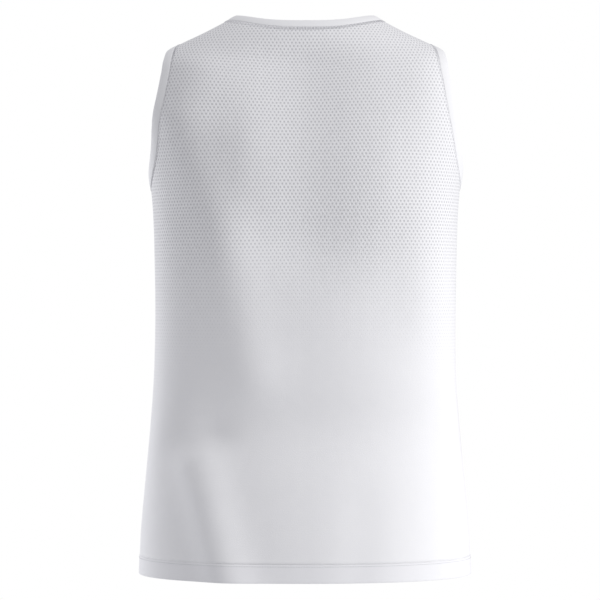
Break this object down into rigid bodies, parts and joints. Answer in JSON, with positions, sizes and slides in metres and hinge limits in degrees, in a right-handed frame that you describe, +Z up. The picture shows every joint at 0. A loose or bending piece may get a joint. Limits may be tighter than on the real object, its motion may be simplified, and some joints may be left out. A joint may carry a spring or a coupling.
{
  "type": "base layer singlet",
  "caption": "Men's sleeveless base layer singlet in white eyelet mesh, with bound neck and armholes and a stitched hem, in its worn shape.",
  "frame": {"origin": "midway between the two high shoulder points, where the wearer's shoulders hold the garment up", "axes": "+Z up, -Y towards the wearer's front, +X towards the wearer's left"},
  "size_m": [0.3984, 0.2353, 0.6678],
  "materials": {
    "mesh_cloth": "matte fine polyester knit with small eyelets in the upper part",
    "binding_knit": "smooth matte knit",
    "thread": "polyester sewing thread"
  },
  "bodies": {
    "root": {"back_panel": "mesh_cloth", "front_panel": "mesh_cloth", "neck_binding": "binding_knit", "armhole_binding_left": "binding_knit", "armhole_binding_right": "binding_knit", "hem_band": "mesh_cloth"}
  },
  "joints": []
}
